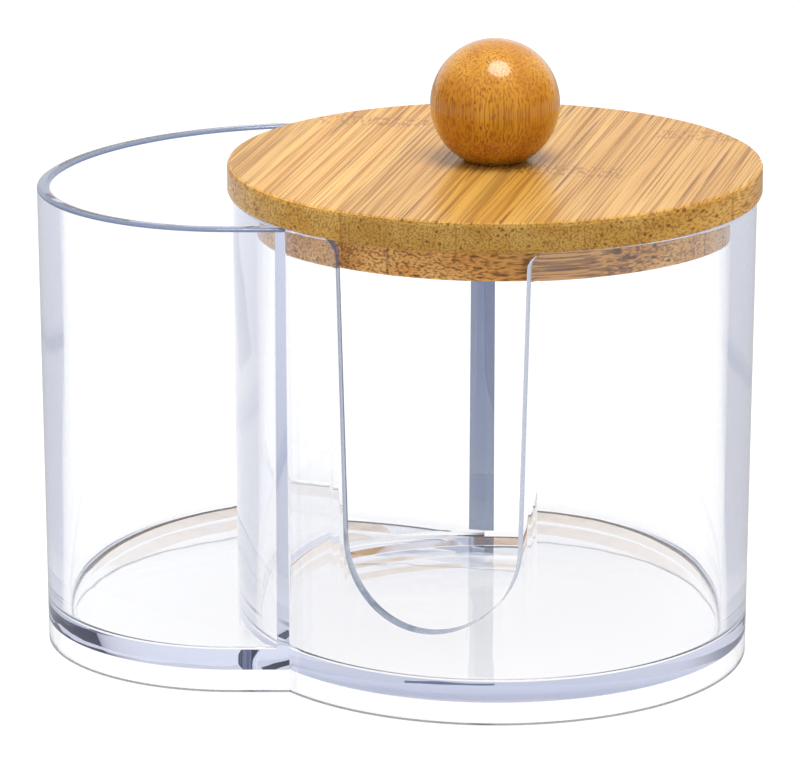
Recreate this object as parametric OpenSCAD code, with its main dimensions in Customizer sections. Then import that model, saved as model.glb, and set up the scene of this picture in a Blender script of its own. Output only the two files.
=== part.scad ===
// Clear two-compartment holder: a round, lidded compartment for cotton pads and
// an open side compartment for cotton swabs, moulded as one piece, with a wooden
// lid that lifts off by its ball knob.
// The frame stands at the middle of the footprint, on the surface it rests on.

/* [Round compartment] */
// Outer diameter of the round compartment at its rim
round_d = 98; // [92:0.5:108]
// Height of both compartments
body_h = 89; // [75:1:110]
// Thickness of every wall at the rim
wall = 2.4; // [1.8:0.1:3]

/* [Side compartment] */
// How far the side compartment stands out past the round one, to the left
side_reach = 37; // [30:0.5:42]
// Distance from the lid's axis to the flat front of the side compartment
side_front = 30.2; // [26:0.2:34]
// Radius of the side compartment's rounded nose
nose_r = 37.2; // [34:0.2:40]
// Radius of the side compartment's long back wall
back_r = 55.5; // [52:0.5:58]
// Direction, seen from above, in which the nose blends into the back wall
blend_angle = 166; // [160:1:172]

/* [Floor and skirt] */
// Height of the recess under the floor
skirt_h = 4; // [3:0.5:4]
// Thickness of the skirt that the holder stands on
skirt_t = 2.6; // [2:0.1:3.2]
// Thickness of the floor
floor_t = 3.4; // [2.4:0.2:4]
// Radius of the inside corner between the floor and the walls
floor_fillet = 1.4; // [0.6:0.2:2.4]

/* [Mould] */
// Draft of the outside faces, in degrees
draft_out = 0.5; // [0.2:0.1:0.8]
// Draft of the inside faces, in degrees
draft_in = 1; // [0.8:0.1:1.4]
// Rounding of the rim's two edges
rim_round = 0.7; // [0.3:0.1:0.9]

/* [Front slot] */
// Direction of the slot, seen from above
slot_angle = 254.5; // [245:0.5:265]
// Radius of the slot's round bottom
slot_r = 16.4; // [13:0.2:18]
// Height of the slot's lowest point
slot_low = 17; // [14:0.5:24]
// Lean of the slot's sides, in degrees
slot_lean = 1.5; // [0:0.1:3]
// Rounding of the slot's two top corners
slot_corner = 3.2; // [1:0.2:5]

/* [Lid] */
// How far the lid stands out past the round compartment
lid_overhang = 1; // [0.5:0.1:3]
// Thickness of the lid's upper board
lid_t = 5.8; // [4:0.2:8]
// Rounding of the upper board's edges
lid_round = 0.8; // [0.4:0.1:1.2]
// Depth of the lower board that sits inside the rim
plug_t = 5.9; // [4:0.1:8]
// Gap between the lower board and the round wall
plug_gap = 0.35; // [0.3:0.05:1]
// Rounding of the lower board's edges
plug_round = 0.5; // [0.3:0.1:1]

/* [Knob] */
// Diameter of the ball knob
knob_d = 24.2; // [18:0.2:30]
// Diameter of the flat that the knob stands on
knob_flat_d = 11; // [8:0.5:13]

/* [Screw] */
// Diameter of the screw's shank
screw_d = 3.5; // [3:0.1:4]
// Diameter of the screw's countersunk head
screw_head_d = 6.8; // [6:0.2:8]
// Overall length of the screw
screw_l = 20; // [17:0.5:22]
// Gap between the screw and the wood round it
screw_gap = 0.05; // [0.03:0.01:0.1]
// How far the screw's head is sunk below the lower board
screw_sink = 0.3; // [0:0.1:0.6]

/* [Hidden] */
$fn = 180;
// Overrun of cutting shapes past the faces they cut
over = 1;
// Small step that keeps the slot's faces from meeting without an angle
crease = 0.15;
// Straight pieces in a rounded edge, in the nose and in the back wall
edge_steps = 2;
nose_steps = 16;
back_steps = 24;
lid_d = round_d + 2 * lid_overhang;
plug_d = round_d - 2 * wall - 2 * plug_gap;
floor_top = skirt_h + floor_t;
nose_x = round_d / 2 + side_reach - nose_r;
nose_y = nose_r - side_front;
blend = back_r - nose_r;
back_x = nose_x + blend * cos(blend_angle);
back_y = nose_y - blend * sin(blend_angle);
// Place of the lid's axis, which puts the frame at the middle of the footprint
axis_x = (nose_x + nose_r - lid_d / 2) / 2;
axis_y = (lid_d / 2 - back_y - back_r) / 2;
knob_rise = sqrt(pow(knob_d / 2, 2) - pow(knob_flat_d / 2, 2));
lid_low = body_h - plug_t;
lid_top = body_h + lid_t;
screw_low = lid_low + screw_sink;
// Screw's head and point, and the cross-shaped recess in its head
head_h = (screw_head_d - screw_d) / 2;
tip_h = screw_d;
tip_d = 0.4;
cross_w = 0.9;
cross_l = 3.6;
cross_depth = 1.3;
clear_color = [0.86, 0.9, 0.96, 0.35];
board_color = [0.84, 0.66, 0.4];
plug_color = [0.74, 0.53, 0.31];
ball_color = [0.8, 0.53, 0.24];
steel_color = [0.72, 0.73, 0.75];

// Distance of a drafted face from its place at the rim, at height z
function lean(z, angle) = (body_h - z) * tan(angle);

// Points of a quarter round of radius r about c, from angle a to angle b
function round_edge(c, r, a, b) =
    [for (i = [0:edge_steps]) c + r * [cos(a + (b - a) * i / edge_steps), sin(a + (b - a) * i / edge_steps)]];

// Half section of a compartment's outside, out to radius r at the rim. Inside the
// rim's rounding it goes on upwards by rise, which above_rim() cuts off.
function outside(r, rise) = concat(
    [[0, 0], [r - lean(0, draft_out), 0]],
    round_edge([r - rim_round, body_h - rim_round], rim_round, 0, 90),
    [[r - rim_round, body_h + rise], [0, body_h + rise]]);

// Half section of a compartment's hollow, inside a wall that reaches radius r
function hollow(r) = concat(
    [[0, floor_top]],
    round_edge([r - wall - lean(floor_top, draft_in) - floor_fillet, floor_top + floor_fillet],
        floor_fillet, -90, 0),
    round_edge([r - wall + rim_round, body_h - rim_round], rim_round, 180, 90),
    [[r - wall + rim_round, body_h + over], [0, body_h + over]]);

// Half section of the recess under the floor, inside a skirt that reaches radius r
function recess(r) = [
    [0, -over],
    [r - skirt_t, -over],
    [r - skirt_t - skirt_h * tan(draft_in), skirt_h],
    [0, skirt_h]];

// A half section turned round the lid's axis
module round_form(section) {
    rotate_extrude() polygon(section);
}

// Outline of the side compartment, seen from above, with its faces moved in by
// inset: the long back wall, the nose and the flat front. It closes inside the
// round compartment, where it only has to stay clear of the wall.
function side_outline(inset) = concat(
    [[0, inset - side_front], [0, back_y], [back_r - back_x - inset, back_y]],
    arc_points([-back_x, back_y], back_r - inset, 0, blend_angle, back_steps),
    arc_points([-nose_x, nose_y], nose_r - inset, blend_angle, 270, nose_steps));

// Points of an arc about c, without its first point
function arc_points(c, r, a, b, n) =
    [for (i = [1:n]) c + r * [cos(a + (b - a) * i / n), sin(a + (b - a) * i / n)]];

// A half section, given at the nose, led along the side compartment's outline
module side_form(section) {
    rings = [for (p = section) if (p.x > 0) side_outline(nose_r - p.x)];
    heights = [for (p = section) if (p.x > 0) p.y];
    n = len(rings[0]);
    points = [for (i = [0:len(rings) - 1]) for (q = rings[i]) [q.x, q.y, heights[i]]];
    sides = [for (i = [0:len(rings) - 2]) for (j = [0:n - 1])
        [i * n + j, (i + 1) * n + j, (i + 1) * n + (j + 1) % n, i * n + (j + 1) % n]];
    low_face = [[for (j = [0:n - 1]) j]];
    high_face = [[for (j = [n - 1:-1:0]) (len(rings) - 1) * n + j]];
    polyhedron(points, concat(low_face, sides, high_face));
}

// Outline of the front slot, with its origin on the lid's axis at the base. Its
// sides start just inside the round bottom and its corners end just past the rim,
// so that every face is crossed at an angle.
module slot_outline() {
    centre_z = slot_low + slot_r;
    corner_z = body_h - slot_corner + crease;
    corner_x = slot_half(corner_z) + slot_corner / cos(slot_lean);
    right = [[slot_r - crease, centre_z], [slot_half(corner_z), corner_z], [corner_x, corner_z],
        [corner_x, body_h + over]];
    difference() {
        union() {
            translate([0, centre_z]) circle(slot_r);
            polygon(concat(right, [for (i = [len(right) - 1:-1:0]) [-right[i].x, right[i].y]]));
        }
        for (s = [-1, 1]) translate([s * corner_x, corner_z]) circle(slot_corner);
    }
}

// Half the slot's width at height z
function slot_half(z) = slot_r / cos(slot_lean) + (z - slot_low - slot_r) * tan(slot_lean);

module slot() {
    rotate([0, 0, slot_angle]) rotate([90, 0, 90]) translate([0, 0, round_d / 4])
        linear_extrude(round_d / 2) slot_outline();
}

// The space of the side compartment, which leaves the round wall whole
module side_hollow() {
    difference() {
        side_form(hollow(nose_r));
        round_form(outside(round_d / 2, 3 * over));
    }
}

// Everything above the rim, which it cuts flat
module above_rim() {
    translate([0, 0, body_h]) cylinder(h = 4 * over, r = round_d);
}

// Both compartments with the slot, on a floor that is still solid to its foot
module vessel() {
    difference() {
        union() {
            round_form(outside(round_d / 2, 2 * over));
            side_form(outside(nose_r, 2 * over));
        }
        round_form(hollow(round_d / 2));
        side_hollow();
        slot();
        above_rim();
    }
}

module container() {
    color(clear_color) translate([axis_x, axis_y, 0]) difference() {
        vessel();
        union() {
            round_form(recess(round_d / 2));
            side_form(recess(nose_r));
        }
    }
}

// A round board with rounded edges, its lower face at height 0
module board(d, t, edge) {
    rotate_extrude() polygon(concat(
        [[0, 0]],
        round_edge([d / 2 - edge, edge], edge, -90, 0),
        round_edge([d / 2 - edge, t - edge], edge, 0, 90),
        [[0, t]]));
}

module shank_hole() {
    cylinder(h = lid_top + knob_d, d = screw_d + 2 * screw_gap);
}

module lid_disc() {
    color(board_color) translate([axis_x, axis_y, 0]) difference() {
        translate([0, 0, body_h]) board(lid_d, lid_t, lid_round);
        shank_hole();
    }
}

module lid_plug() {
    color(plug_color) translate([axis_x, axis_y, 0]) difference() {
        translate([0, 0, lid_low]) board(plug_d, plug_t, plug_round);
        shank_hole();
        translate([0, 0, lid_low - over]) cylinder(h = over + screw_sink, d = screw_head_d + 2 * screw_gap);
        translate([0, 0, screw_low]) cylinder(h = head_h, d1 = screw_head_d + 2 * screw_gap,
            d2 = screw_d + 2 * screw_gap);
    }
}

module knob() {
    color(ball_color) translate([axis_x, axis_y, lid_top]) difference() {
        translate([0, 0, knob_rise]) sphere(d = knob_d);
        translate([0, 0, -knob_d]) cylinder(h = knob_d, d = 2 * knob_d);
        translate([0, 0, -over]) cylinder(h = over + screw_low + screw_l + screw_gap - lid_top,
            d = screw_d + 2 * screw_gap);
    }
}

module knob_screw() {
    color(steel_color) translate([axis_x, axis_y, screw_low]) difference() {
        union() {
            cylinder(h = head_h, d1 = screw_head_d, d2 = screw_d);
            cylinder(h = screw_l - tip_h, d = screw_d);
            translate([0, 0, screw_l - tip_h]) cylinder(h = tip_h, d1 = screw_d, d2 = tip_d);
        }
        for (a = [0, 90]) rotate([0, 0, a])
            translate([-cross_l / 2, -cross_w / 2, -over]) cube([cross_l, cross_w, over + cross_depth]);
    }
}

container();
lid_disc();
lid_plug();
knob();
knob_screw();
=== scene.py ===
"""Looks of the clear two-compartment holder with its wooden lid."""

import math

import bmesh
import bpy
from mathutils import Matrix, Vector

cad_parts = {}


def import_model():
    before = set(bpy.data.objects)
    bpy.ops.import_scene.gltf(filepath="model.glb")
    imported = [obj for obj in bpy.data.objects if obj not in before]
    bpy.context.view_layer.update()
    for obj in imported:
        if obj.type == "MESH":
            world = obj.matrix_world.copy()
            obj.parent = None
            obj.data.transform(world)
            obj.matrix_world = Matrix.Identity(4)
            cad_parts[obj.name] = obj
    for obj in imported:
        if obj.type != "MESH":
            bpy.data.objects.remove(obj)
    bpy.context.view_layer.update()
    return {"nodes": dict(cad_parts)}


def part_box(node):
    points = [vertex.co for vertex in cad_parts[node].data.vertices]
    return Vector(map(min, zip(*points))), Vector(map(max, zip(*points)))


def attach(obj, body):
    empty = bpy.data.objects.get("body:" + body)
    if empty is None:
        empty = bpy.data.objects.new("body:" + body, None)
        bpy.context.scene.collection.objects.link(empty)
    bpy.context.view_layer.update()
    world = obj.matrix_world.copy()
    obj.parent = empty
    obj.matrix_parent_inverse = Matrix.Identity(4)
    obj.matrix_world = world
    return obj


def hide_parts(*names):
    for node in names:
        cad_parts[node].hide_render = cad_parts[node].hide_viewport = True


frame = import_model()

MM = 0.001

# Container, in millimetres about the lid's axis
ROUND_D = 98.0
WALL = 2.4
SIDE_REACH = 37.0
SIDE_FRONT = 30.2
NOSE_R = 37.2
BACK_R = 55.5
BLEND_ANGLE = 166.0
SKIRT_H = 4.0
SKIRT_T = 2.6
FLOOR_T = 3.4
FLOOR_FILLET = 1.4
DRAFT_OUT = 0.5
DRAFT_IN = 1.0
RIM_ROUND = 0.7
SLOT_ANGLE = 254.5
SLOT_R = 16.4
SLOT_LOW = 17.0
SLOT_LEAN = 1.5
SLOT_CORNER = 3.2
OVER = 1.0
EDGE_BEVEL = 0.3

# Ends of the thick web where the two compartments meet at the back, along X, over which a painted dark shade
# is laid
WEB_START = -3.3
WEB_END = 1.0

# Steps of the curves
ROUND_STEPS = 288
EDGE_STEPS = 6
NOSE_STEPS = 72
BACK_STEPS = 96
SLOT_STEPS = 48
CORNER_STEPS = 10
BEVEL_STEPS = 2

# Clean-up of the cut mesh in metres, and the angles in degrees at which its edges are bevelled or stay sharp
WELD = 2e-6
SLIVER = 1e-6
BEVEL_ANGLE = 35
SHARP_ANGLE = 20

# Places of the two painted-shade plastics in the container's list of materials: painted dark lines on the
# edges, and a painted contact shadow on the foot
PAINTED_EDGE_SHADE_INDEX = 1
PAINTED_FOOT_SHADOW_INDEX = 2

# Clear plastic: its own colour on faces, the painted shade on edges and the painted contact shadow on the
# foot, what it takes from light over a long way, and its haze
CLEAR = (1.0, 1.0, 1.0)
EDGE_PAINTED_SHADE = (0.22, 0.27, 0.37)
# The foot's colour is a painted contact shadow along the bottom faces
FOOT_PAINTED_SHADOW = (0.04, 0.04, 0.05)
PLASTIC_IOR = 1.57
TINT = (0.68, 0.72, 0.86, 1)
TINT_DENSITY = 16
THROUGH = (0.96, 0.965, 0.98, 1)
DEEP_RAY = 6.5
HAZE_SCALE = 900.0
HAZE_RANGE = (0.45, 0.75)
HAZE_ROUGHER = 0.03
FLOW_SCALE = (90, 90, 22)

# Relief of every finish, as the bump's strength and its depth in metres
BUMP_STRENGTH = 0.3
BUMP_DEPTH = 0.0001

# Bamboo's pale, warm and dark tones on the board, on the board across it and on the ball
BOARD_TONES = ((0.72, 0.4, 0.09, 1), (0.63, 0.31, 0.05, 1), (0.26, 0.1, 0.015, 1))
CROSS_TONES = ((0.88, 0.48, 0.15, 1), (0.76, 0.36, 0.09, 1), (0.1, 0.034, 0.01, 1))
BALL_TONES = ((0.74, 0.35, 0.028, 1), (0.6, 0.24, 0.014, 1), (0.34, 0.1, 0.005, 1))
END_GRAIN = (0.7, 0.78, 0.86, 1)

# Bamboo's patterns, as repeats to the metre along the fibre and across it
HAIR = (18, 2600)
STREAK = (8, 200)
FADE = (20, 60)
SPECK = (500, 1500)

# Stretch of each pattern's value over which it comes in, and its strength there
STREAK_RANGE = (0.35, 0.65)
HAIR_RANGE = (0.44, 0.62)
HAIR_DARK = 0.65
BUNDLE_RANGE = (0.27, 0.14)
FADE_RANGE = (0.35, 0.6)
FADE_LEAST = 0.5
TONE_LOW = 0.84
TONE_HIGH = 1.06
KNOT_PERIOD = 0.11
KNOT_SHIFT = 7.31
KNOT_RANGE = (0.02, 0.05)
SPECK_RANGE = (0.48, 0.6)
SPECK_DARK = 0.75
END_RANGE = (0.3, 0.9)
SEAM_RANGE = (0.488, 0.497)
SEAM_DARK = 0.5
GLOSS_RANGE = (0.3, 0.7)
GLOSS_LOW = 0.8
GLOSS_HIGH = 1.3
WOOD_SPECULAR = 0.22

# Screw
STEEL = (0.5, 0.5, 0.5)
STEEL_ROUGHNESS = 0.3

# Floor: its size and its drop in metres, its own colour and glow, and how far the glow dims in a mirror
FLOOR_R = 6
FLOOR_STEPS = 64
FLOOR_DROP = 0.0002
FLOOR_COLOR = (0.22, 0.22, 0.22, 1)
FLOOR_ROUGHNESS = 0.9
GLOW = 0.86
GLOW_DIM = 0.16
GLOW_DIM_FIRST = 0.5
FIRST_RAY = 1.5

# Studio walls and ceiling, and where in the surroundings each comes in
WHITE = (1, 1, 1, 1)
FRONT_GREY = (0.4, 0.41, 0.45, 1)
SIDE_DARK = (0.1, 0.1, 0.12, 1)
SIDE_BRIGHT = (1.3, 1.3, 1.3, 1)
CEILING = (0.9, 0.9, 0.92, 1)
BACK_RANGE = (-0.5, 0.9)
SIDE_RANGE = (0.55, 0.95)
CEILING_RANGE = (0.1, 0.9)

# Lamp, in metres and watts
LAMP_PLACE = (0.12, -0.25, 1.1)
LAMP_TARGET = (0, 0, 0.05)
LAMP_SIZE = 0.6
LAMP_POWER = 9

# Camera: place and clipping in metres, tilt in degrees, sensor and lens in millimetres
CAMERA_PLACE = (0.0003, -0.9606, 0.318)
CAMERA_DOWN = 15.541
CAMERA_SENSOR = 36
CAMERA_LENS = 236.6
CAMERA_NEAR = 0.05
CAMERA_FAR = 50

# Bounces of light
BOUNCES = 16
DIFFUSE_BOUNCES = 2

# Places worked out from the frame and the sizes
disc_low, disc_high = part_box("lid_disc")
AXIS = Vector(((disc_low.x + disc_high.x) / 2, (disc_low.y + disc_high.y) / 2, 0))
BODY_H = disc_low.z / MM
FLOOR_TOP = SKIRT_H + FLOOR_T
NOSE_X = ROUND_D / 2 + SIDE_REACH - NOSE_R
NOSE_Y = NOSE_R - SIDE_FRONT
BACK_X = NOSE_X + (BACK_R - NOSE_R) * math.cos(math.radians(BLEND_ANGLE))
BACK_Y = NOSE_Y - (BACK_R - NOSE_R) * math.sin(math.radians(BLEND_ANGLE))


def lean(z, angle):
    """Distance of a drafted face from its place at the rim, at height z."""
    return (BODY_H - z) * math.tan(math.radians(angle))


def arc(x, y, radius, start, stop, steps):
    """Points of an arc about (x, y), angles in degrees, without the first point."""
    turn = [math.radians(start + (stop - start) * i / steps) for i in range(1, steps + 1)]
    return [(x + radius * math.cos(a), y + radius * math.sin(a)) for a in turn]


def corner(x, y, radius, start, stop):
    """A rounded corner of a half section, with both its ends."""
    first = (x + radius * math.cos(math.radians(start)), y + radius * math.sin(math.radians(start)))
    return [first] + arc(x, y, radius, start, stop, EDGE_STEPS)


def outside(r, rise):
    """Half section of a compartment's outside, out to radius r at the rim."""
    rounded = corner(r - RIM_ROUND, BODY_H - RIM_ROUND, RIM_ROUND, 0, 90)
    return [(r - lean(0, DRAFT_OUT), 0)] + rounded + [(r - RIM_ROUND, BODY_H + rise)]


def hollow(r):
    """Half section of a compartment's hollow, inside a wall that reaches radius r."""
    foot = r - WALL - lean(FLOOR_TOP, DRAFT_IN) - FLOOR_FILLET
    low = corner(foot, FLOOR_TOP + FLOOR_FILLET, FLOOR_FILLET, -90, 0)
    high = corner(r - WALL + RIM_ROUND, BODY_H - RIM_ROUND, RIM_ROUND, 180, 90)
    return low + high + [(r - WALL + RIM_ROUND, BODY_H + OVER)]


def recess(r):
    """Half section of the recess under the floor, inside a skirt that reaches radius r."""
    top = r - SKIRT_T - SKIRT_H * math.tan(math.radians(DRAFT_IN))
    return [(r - SKIRT_T, -OVER), (top, SKIRT_H)]


def round_outline(radius):
    """A circle about the lid's axis."""
    return arc(0, 0, radius, 0, 360, ROUND_STEPS)


def side_outline(radius):
    """Outline of the side compartment where its nose has this radius: flat front, nose and back wall."""
    inset = NOSE_R - radius
    inner = [(0, inset - SIDE_FRONT), (0, BACK_Y), (BACK_R - BACK_X - inset, BACK_Y)]
    back = arc(-BACK_X, BACK_Y, BACK_R - inset, 0, BLEND_ANGLE, BACK_STEPS)
    nose = arc(-NOSE_X, NOSE_Y, NOSE_R - inset, BLEND_ANGLE, 270, NOSE_STEPS)
    return inner + back + nose


def made(name, mesh):
    """A new object with this bmesh."""
    data = bpy.data.meshes.new(name)
    bmesh.ops.recalc_face_normals(mesh, faces=mesh.faces)
    mesh.to_mesh(data)
    mesh.free()
    piece = bpy.data.objects.new(name, data)
    bpy.context.scene.collection.objects.link(piece)
    return piece


def loft(name, rings):
    """A closed solid through rings of as many points each, in metres."""
    mesh = bmesh.new()
    rows = [[mesh.verts.new(p) for p in ring] for ring in rings]
    count = len(rows[0])
    for low, high in zip(rows, rows[1:]):
        for i in range(count):
            j = (i + 1) % count
            mesh.faces.new((low[i], low[j], high[j], high[i]))
    mesh.faces.new(reversed(rows[0]))
    mesh.faces.new(rows[-1])
    return made(name, mesh)


def form(name, section, outline):
    """A half section led round an outline about the lid's axis."""
    return loft(name, [[AXIS + Vector((x, y, z)) * MM for x, y in outline(r)] for r, z in section])


def give_materials(piece, materials):
    """Adds these materials to the piece's list, in their order."""
    for material in materials:
        piece.data.materials.append(material)


def slot_half(z):
    """Half the slot's width at height z."""
    angle = math.radians(SLOT_LEAN)
    return SLOT_R / math.cos(angle) + (z - SLOT_LOW - SLOT_R) * math.tan(angle)


def corner_arc(x, z):
    """The rounded top corner of the slot, from its side up to the rim."""
    start = 180 - SLOT_LEAN
    turn = [math.radians(start + (90 - start) * i / CORNER_STEPS) for i in range(CORNER_STEPS + 1)]
    return [(x + SLOT_CORNER * math.cos(a), z + SLOT_CORNER * math.sin(a)) for a in turn]


def slot(materials):
    """The front slot's cutter, from inside the round wall to well past it, in the painted-shade edge
    material, so the slot's cut faces are painted darker.
    """
    corner_z = BODY_H - SLOT_CORNER
    corner_x = slot_half(corner_z) + SLOT_CORNER / math.cos(math.radians(SLOT_LEAN))
    right = arc(0, SLOT_LOW + SLOT_R, SLOT_R, -90, -SLOT_LEAN, SLOT_STEPS)
    right += corner_arc(corner_x, corner_z)
    right += [(corner_x, BODY_H + OVER)]
    outline = [(0, SLOT_LOW)] + right + [(-x, z) for x, z in reversed(right)]
    turn = math.radians(SLOT_ANGLE)
    ahead = Vector((math.cos(turn), math.sin(turn), 0))
    across = Vector((-math.sin(turn), math.cos(turn), 0))
    up = Vector((0, 0, 1))
    rings = [[AXIS + (ahead * reach + across * x + up * z) * MM for x, z in outline]
             for reach in (ROUND_D / 4, ROUND_D * 3 / 4)]
    cutter = loft("slot", rings)
    give_materials(cutter, materials)
    # The slot's cut faces take the painted dark edge shade
    for face in cutter.data.polygons:
        face.material_index = PAINTED_EDGE_SHADE_INDEX
    return cutter


def combine(piece, tool, operation):
    """Joins or cuts piece by tool, and removes the tool."""
    step = piece.modifiers.new("step", "BOOLEAN")
    step.operation = operation
    step.solver = "EXACT"
    step.object = tool
    bpy.context.view_layer.update()
    graph = bpy.context.evaluated_depsgraph_get()
    data = bpy.data.meshes.new_from_object(piece.evaluated_get(graph))
    piece.modifiers.clear()
    piece.data = data
    bpy.data.objects.remove(tool)


def painted_shade_of(place):
    """The painted-shade material that a face at this place takes instead of its own, or none: a painted
    contact shadow on the foot, painted dark shade on the top of the rim outside the round compartment and on
    the web between the compartments.
    """
    spot = (place - AXIS) / MM
    reach = math.hypot(spot.x, spot.y)
    # Bottom faces: painted contact shadow
    if spot.z < EDGE_BEVEL / 2:
        return PAINTED_FOOT_SHADOW_INDEX
    # Top of the rim outside the round compartment: painted dark shade
    if spot.z > BODY_H - RIM_ROUND and reach > ROUND_D / 2:
        return PAINTED_EDGE_SHADE_INDEX
    # Web between the compartments: painted dark shade
    if WEB_START < spot.x < WEB_END and spot.y > ROUND_D / 2 - WALL / 2 and spot.z > FLOOR_TOP:
        return PAINTED_EDGE_SHADE_INDEX
    return None


def soften(piece):
    """Smooth shading, with a narrow bevel along each sharp edge in the painted-shade edge material, which
    paints dark lines along the edges.

    The faces are parted at the floor's height first, so that the web's painted shade ends there.
    """
    mesh = bmesh.new()
    mesh.from_mesh(piece.data)
    bmesh.ops.remove_doubles(mesh, verts=mesh.verts, dist=WELD)
    bmesh.ops.dissolve_degenerate(mesh, edges=mesh.edges, dist=SLIVER)
    parts = mesh.verts[:] + mesh.edges[:] + mesh.faces[:]
    bmesh.ops.bisect_plane(mesh, geom=parts, plane_co=(0, 0, FLOOR_TOP * MM), plane_no=(0, 0, 1))
    least = math.radians(BEVEL_ANGLE)
    sharp = [e for e in mesh.edges if len(e.link_faces) == 2 and e.calc_face_angle() > least]
    bmesh.ops.bevel(mesh, geom=sharp, offset=EDGE_BEVEL * MM, offset_type="OFFSET", segments=BEVEL_STEPS,
                    profile=0.5, affect="EDGES", clamp_overlap=True, material=PAINTED_EDGE_SHADE_INDEX)
    for face in mesh.faces:
        face.smooth = True
        # Painted shade: faces of the foot, the rim top and the web take a darker material
        tint = painted_shade_of(face.calc_center_median())
        if tint:
            face.material_index = tint
    for edge in mesh.edges:
        edge.smooth = len(edge.link_faces) == 2 and edge.calc_face_angle() < math.radians(SHARP_ANGLE)
    mesh.to_mesh(piece.data)
    mesh.free()


def container(materials):
    """The clear moulding, with finer curves than the CAD node it stands for.

    The first material is for its faces, the second paints shade on its edges and the slot's cut, the third
    paints a contact shadow on its foot.
    """
    shell = form("clear_container", outside(ROUND_D / 2, 2 * OVER), round_outline)
    give_materials(shell, materials)
    combine(shell, form("side", outside(NOSE_R, 2 * OVER), side_outline), "UNION")
    combine(shell, form("round_hollow", hollow(ROUND_D / 2), round_outline), "DIFFERENCE")
    side_hollow = form("side_hollow", hollow(NOSE_R), side_outline)
    guard = form("guard", outside(ROUND_D / 2, 3 * OVER), round_outline)
    combine(side_hollow, guard, "DIFFERENCE")
    combine(shell, side_hollow, "DIFFERENCE")
    combine(shell, slot(materials), "DIFFERENCE")
    slab = [(ROUND_D, BODY_H), (ROUND_D, BODY_H + 4 * OVER)]
    combine(shell, form("slab", slab, round_outline), "DIFFERENCE")
    combine(shell, form("round_recess", recess(ROUND_D / 2), round_outline), "DIFFERENCE")
    combine(shell, form("side_recess", recess(NOSE_R), side_outline), "DIFFERENCE")
    soften(shell)
    return shell


def node_tree(name):
    """A new material with its tree and its Principled shader."""
    material = bpy.data.materials.new(name)
    material.use_nodes = True
    tree = material.node_tree
    return material, tree, tree.nodes["Principled BSDF"]


def feed(tree, target, value):
    """Sets a socket to a constant, or links it to another socket."""
    if isinstance(value, bpy.types.NodeSocket):
        tree.links.new(value, target)
    else:
        target.default_value = value


def math_node(tree, operation, first, second=0.0):
    """The result of a sum on one or two values."""
    node = tree.nodes.new("ShaderNodeMath")
    node.operation = operation
    feed(tree, node.inputs[0], first)
    feed(tree, node.inputs[1], second)
    return node.outputs[0]


def ramp(tree, value, start, stop, low=0.0, high=1.0):
    """A smooth step from low to high while value goes from start to stop."""
    node = tree.nodes.new("ShaderNodeMapRange")
    node.interpolation_type = "SMOOTHSTEP"
    feed(tree, node.inputs["Value"], value)
    for name, number in (("From Min", start), ("From Max", stop), ("To Min", low), ("To Max", high)):
        node.inputs[name].default_value = number
    return node.outputs[0]


def blend(tree, factor, first, second, kind="MIX"):
    """Colours first and second, mixed by factor."""
    node = tree.nodes.new("ShaderNodeMix")
    node.data_type = "RGBA"
    node.blend_type = kind
    feed(tree, node.inputs["Factor"], factor)
    feed(tree, node.inputs["A"], first)
    feed(tree, node.inputs["B"], second)
    return node.outputs["Result"]


def mapped(tree, vector, turn=(0, 0, 0), scale=(1, 1, 1)):
    """A vector turned by these degrees, or scaled."""
    node = tree.nodes.new("ShaderNodeMapping")
    node.inputs["Rotation"].default_value = [math.radians(a) for a in turn]
    node.inputs["Scale"].default_value = scale
    tree.links.new(vector, node.inputs["Vector"])
    return node.outputs[0]


def split(tree, vector):
    """A vector's X, Y and Z."""
    node = tree.nodes.new("ShaderNodeSeparateXYZ")
    tree.links.new(vector, node.inputs[0])
    return node.outputs


def noise(tree, vector, scale, detail):
    """Soft noise of about 0.5, with this many finer layers."""
    node = tree.nodes.new("ShaderNodeTexNoise")
    node.inputs["Scale"].default_value = scale
    node.inputs["Detail"].default_value = detail
    tree.links.new(vector, node.inputs["Vector"])
    return node.outputs["Fac"]


def cells(tree, vector):
    """Distance to the nearest of scattered points, one to a unit cell."""
    node = tree.nodes.new("ShaderNodeTexVoronoi")
    node.inputs["Scale"].default_value = 1
    tree.links.new(vector, node.inputs["Vector"])
    return node.outputs["Distance"]


def relief(tree, shader, height):
    """Fine bump on the shader's normal."""
    node = tree.nodes.new("ShaderNodeBump")
    node.inputs["Strength"].default_value = BUMP_STRENGTH
    node.inputs["Distance"].default_value = BUMP_DEPTH
    tree.links.new(height, node.inputs["Height"])
    tree.links.new(node.outputs[0], shader.inputs["Normal"])


def let_through(tree, shader):
    """The shader, but open to shadow rays, to diffuse rays and to rays that have met many faces."""
    path = tree.nodes.new("ShaderNodeLightPath")
    deep = math_node(tree, "GREATER_THAN", path.outputs["Ray Depth"], DEEP_RAY)
    soft = math_node(tree, "MAXIMUM", path.outputs["Is Diffuse Ray"], deep)
    passing = math_node(tree, "MAXIMUM", path.outputs["Is Shadow Ray"], soft)
    through = tree.nodes.new("ShaderNodeBsdfTransparent")
    through.inputs["Color"].default_value = THROUGH
    mix = tree.nodes.new("ShaderNodeMixShader")
    tree.links.new(passing, mix.inputs[0])
    tree.links.new(shader.outputs[0], mix.inputs[1])
    tree.links.new(through.outputs[0], mix.inputs[2])
    return mix.outputs[0]


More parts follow.
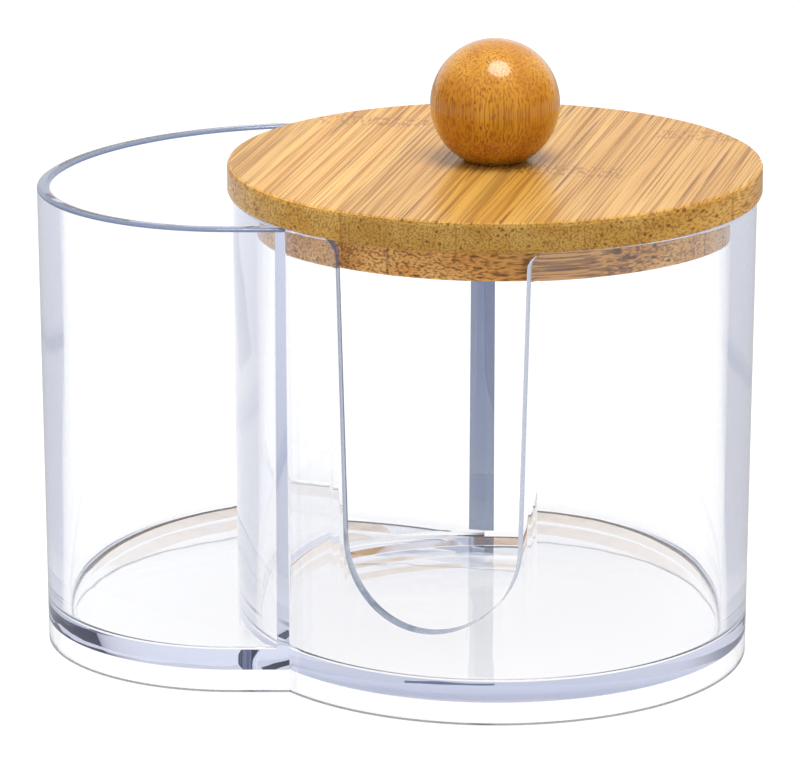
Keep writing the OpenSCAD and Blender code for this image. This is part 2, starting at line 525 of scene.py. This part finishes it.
def clear_plastic(name, color, clearness, roughness):
    """Clear polystyrene, greyer over a long way, that lets lamps and the floor's light through."""
    material, tree, shader = node_tree(name)
    shader.inputs["Base Color"].default_value = (*color, 1)
    shader.inputs["IOR"].default_value = PLASTIC_IOR
    shader.inputs["Transmission Weight"].default_value = clearness
    place = tree.nodes.new("ShaderNodeTexCoord").outputs["Object"]
    cloud = noise(tree, place, HAZE_SCALE, 3.0)
    haze = ramp(tree, cloud, *HAZE_RANGE, roughness, roughness + HAZE_ROUGHER)
    tree.links.new(haze, shader.inputs["Roughness"])
    relief(tree, shader, noise(tree, mapped(tree, place, scale=FLOW_SCALE), 1.0, 1.0))
    output = tree.nodes["Material Output"]
    tree.links.new(let_through(tree, shader), output.inputs["Surface"])
    tint = tree.nodes.new("ShaderNodeVolumeAbsorption")
    tint.inputs["Color"].default_value = TINT
    tint.inputs["Density"].default_value = TINT_DENSITY
    tree.links.new(tint.outputs[0], output.inputs["Volume"])
    return material


def grain(tree, along, repeats, detail=2.0):
    """Noise drawn out along the fibre."""
    length, width = repeats
    return noise(tree, mapped(tree, along, scale=(length, width, width)), 1.0, detail)


def fibres(tree, along, hair, bundle, tones):
    """Pale and warm streaks, with fine dark hairs and dark bundles of fibre in them."""
    length, spacing = bundle
    pale, warm, dark = tones
    wood = blend(tree, ramp(tree, grain(tree, along, STREAK), *STREAK_RANGE), pale, warm)
    wood = blend(tree, ramp(tree, hair, *HAIR_RANGE, 0.0, HAIR_DARK), wood, dark)
    core = cells(tree, mapped(tree, along, scale=(1 / length, 1 / spacing, 1 / spacing)))
    fade = ramp(tree, grain(tree, along, FADE), *FADE_RANGE, FADE_LEAST, 1.0)
    return blend(tree, math_node(tree, "MULTIPLY", ramp(tree, core, *BUNDLE_RANGE), fade), wood, dark)


def strip_tone(tree, wood, chance):
    """The wood, each strip a little lighter or darker by chance."""
    grey = tree.nodes.new("ShaderNodeCombineColor")
    tone = ramp(tree, chance, 0.0, 1.0, TONE_LOW, TONE_HIGH)
    for channel in grey.inputs:
        tree.links.new(tone, channel)
    return blend(tree, 1.0, wood, grey.outputs[0], "MULTIPLY")


def from_middle(tree, value):
    """Distance of a value from the middle of its unit step."""
    return math_node(tree, "ABSOLUTE", math_node(tree, "SUBTRACT", math_node(tree, "FRACT", value), 0.5))


def knots(tree, wood, along, run, chance, dark):
    """The wood, with a speckled band across each strip at every knot."""
    shift = math_node(tree, "MULTIPLY", chance, KNOT_SHIFT)
    knot = from_middle(tree, math_node(tree, "ADD", math_node(tree, "DIVIDE", run, KNOT_PERIOD), shift))
    band = ramp(tree, knot, *KNOT_RANGE, 1.0, 0.0)
    speck = ramp(tree, grain(tree, along, SPECK), *SPECK_RANGE, 0.0, SPECK_DARK)
    return blend(tree, math_node(tree, "MULTIPLY", band, speck), wood, dark)


def end_grain(tree, wood, normal, turn, strength):
    """The wood, darker where its face looks along the fibre."""
    facing = split(tree, mapped(tree, normal, turn=turn))
    cut = ramp(tree, math_node(tree, "ABSOLUTE", facing["X"]), *END_RANGE, 0.0, strength)
    return blend(tree, cut, wood, END_GRAIN, "MULTIPLY")


def bamboo(name, turn, strip, bundle, tones, roughness, coat, end):
    """Pressed bamboo: strips side by side, dark bundles along the fibre and speckled knots across it.

    turn is the fibre's direction, strip the strips' width, bundle the length and spacing of the dark
    bundles, tones the pale, warm and dark colours, coat the lacquer's weight, and end how much darker the
    end grain is.
    """
    material, tree, shader = node_tree(name)
    place = tree.nodes.new("ShaderNodeTexCoord")
    along = mapped(tree, place.outputs["Object"], turn=turn)
    parts = split(tree, along)
    count = math_node(tree, "DIVIDE", parts["Y"], strip)
    draw = tree.nodes.new("ShaderNodeTexWhiteNoise")
    draw.noise_dimensions = "1D"
    tree.links.new(math_node(tree, "FLOOR", count), draw.inputs["W"])
    chance = draw.outputs["Value"]
    dark = tones[-1]
    hair = grain(tree, along, HAIR, 3.0)
    wood = strip_tone(tree, fibres(tree, along, hair, bundle, tones), chance)
    wood = knots(tree, wood, along, parts["X"], chance, dark)
    wood = end_grain(tree, wood, place.outputs["Normal"], turn, end)
    wood = blend(tree, ramp(tree, from_middle(tree, count), *SEAM_RANGE, 0.0, SEAM_DARK), wood, dark)
    tree.links.new(wood, shader.inputs["Base Color"])
    gloss = ramp(tree, hair, *GLOSS_RANGE, roughness * GLOSS_LOW, roughness * GLOSS_HIGH)
    tree.links.new(gloss, shader.inputs["Roughness"])
    shader.inputs["Specular IOR Level"].default_value = WOOD_SPECULAR
    shader.inputs["Coat Weight"].default_value = coat
    shader.inputs["Coat Roughness"].default_value = roughness / 2
    relief(tree, shader, hair)
    return material


def plain(name, color, roughness):
    """A finish of one colour, for the screw, which is hidden while the lid is on."""
    material, _, shader = node_tree(name)
    shader.inputs["Base Color"].default_value = (*color, 1)
    shader.inputs["Roughness"].default_value = roughness
    return material


def stand_in(piece, body, node):
    """Lets a piece take a CAD node's place, on its body."""
    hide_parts(node)
    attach(piece, body)


def paint(node, material):
    """Gives a CAD node its material."""
    data = frame["nodes"][node].data
    data.materials.clear()
    data.materials.append(material)


def floor():
    """A pale light table, as clear goods are photographed on, dimmer where a surface mirrors it."""
    mesh = bmesh.new()
    bmesh.ops.create_circle(mesh, cap_ends=True, segments=FLOOR_STEPS, radius=FLOOR_R)
    ground = made("ground", mesh)
    material, tree, shader = node_tree("ground")
    shader.inputs["Base Color"].default_value = FLOOR_COLOR
    shader.inputs["Roughness"].default_value = FLOOR_ROUGHNESS
    shader.inputs["Specular IOR Level"].default_value = 0
    shader.inputs["Emission Color"].default_value = WHITE
    path = tree.nodes.new("ShaderNodeLightPath")
    mirror = math_node(tree, "SUBTRACT", path.outputs["Is Glossy Ray"], path.outputs["Is Transmission Ray"])
    first = math_node(tree, "LESS_THAN", path.outputs["Ray Depth"], FIRST_RAY)
    dim = math_node(tree, "ADD", math_node(tree, "MULTIPLY", first, GLOW_DIM_FIRST), GLOW_DIM)
    glow = math_node(tree, "SUBTRACT", GLOW, math_node(tree, "MULTIPLY", mirror, dim))
    tree.links.new(glow, shader.inputs["Emission Strength"])
    material.cycles.emission_sampling = "NONE"
    ground.data.materials.append(material)
    ground.location.z = -FLOOR_DROP


def world():
    """A white studio: pure white to the camera, grey towards the front and the sides in what it lights."""
    surround = bpy.data.worlds.new("surround")
    bpy.context.scene.world = surround
    surround.use_nodes = True
    surround.cycles.sampling_method = "NONE"
    tree = surround.node_tree
    toward = split(tree, tree.nodes.new("ShaderNodeTexCoord").outputs["Generated"])
    path = tree.nodes.new("ShaderNodeLightPath")
    front = blend(tree, ramp(tree, toward["Y"], *BACK_RANGE), FRONT_GREY, WHITE)
    beside = math_node(tree, "ABSOLUTE", toward["X"])
    lit = blend(tree, path.outputs["Is Diffuse Ray"], SIDE_DARK, SIDE_BRIGHT)
    sides = blend(tree, ramp(tree, beside, *SIDE_RANGE), front, lit)
    above = blend(tree, ramp(tree, toward["Z"], *CEILING_RANGE), sides, CEILING)
    color = blend(tree, path.outputs["Is Camera Ray"], above, WHITE)
    sky = tree.nodes["Background"]
    tree.links.new(color, sky.inputs["Color"])
    sky.inputs["Strength"].default_value = 1.0


def paths():
    """Enough bounces for light that runs along inside the plastic."""
    cycles = bpy.context.scene.cycles
    cycles.max_bounces = BOUNCES
    cycles.transmission_bounces = BOUNCES
    cycles.glossy_bounces = BOUNCES
    cycles.diffuse_bounces = DIFFUSE_BOUNCES
    cycles.transparent_max_bounces = BOUNCES


def lamp():
    """A round soft light from above."""
    data = bpy.data.lights.new("top", "AREA")
    data.shape = "DISK"
    data.energy = LAMP_POWER
    data.size = LAMP_SIZE
    thing = bpy.data.objects.new("top", data)
    bpy.context.scene.collection.objects.link(thing)
    thing.location = LAMP_PLACE
    thing.rotation_euler = (Vector(LAMP_TARGET) - Vector(LAMP_PLACE)).to_track_quat("-Z", "Y").to_euler()


def camera():
    """The photograph's view, from in front and above."""
    data = bpy.data.cameras.new("camera")
    data.sensor_width = CAMERA_SENSOR
    data.lens = CAMERA_LENS
    data.clip_start = CAMERA_NEAR
    data.clip_end = CAMERA_FAR
    eye = bpy.data.objects.new("camera", data)
    bpy.context.scene.collection.objects.link(eye)
    eye.location = CAMERA_PLACE
    eye.rotation_euler = (math.radians(90 - CAMERA_DOWN), 0, 0)
    bpy.context.scene.camera = eye


def dress():
    """The container's stand-in, and the materials of the lid's pieces."""
    # The second and third plastics are darker copies: painted shade on edges, rim, web and slot, and a
    # painted contact shadow on the foot
    moulding = [clear_plastic("clear_plastic", CLEAR, clearness=1.0, roughness=0.0),
                clear_plastic("clear_edge_painted_shade", EDGE_PAINTED_SHADE, clearness=0.5, roughness=0.1),
                clear_plastic("clear_foot_painted_shadow", FOOT_PAINTED_SHADOW, clearness=0.15, roughness=0.1)]
    stand_in(container(moulding), "holder", "container")
    paint("lid_disc", bamboo("bamboo_board", turn=(0, 0, -77), strip=0.022, bundle=(0.07, 0.0015),
                             tones=BOARD_TONES, roughness=0.3, coat=0.0, end=0.7))
    paint("lid_plug", bamboo("bamboo_cross", turn=(0, 0, -13.5), strip=0.022, bundle=(0.03, 0.0013),
                             tones=CROSS_TONES, roughness=0.5, coat=0.0, end=0.0))
    paint("knob", bamboo("bamboo_ball", turn=(0, 90, 0), strip=0.03, bundle=(0.002, 0.0008),
                         tones=BALL_TONES, roughness=0.2, coat=0.5, end=0.0))
    paint("knob_screw", plain("screw_steel", STEEL, STEEL_ROUGHNESS))


dress()
floor()
world()
paths()
lamp()
camera()
bpy.context.scene.view_settings.view_transform = "Standard"
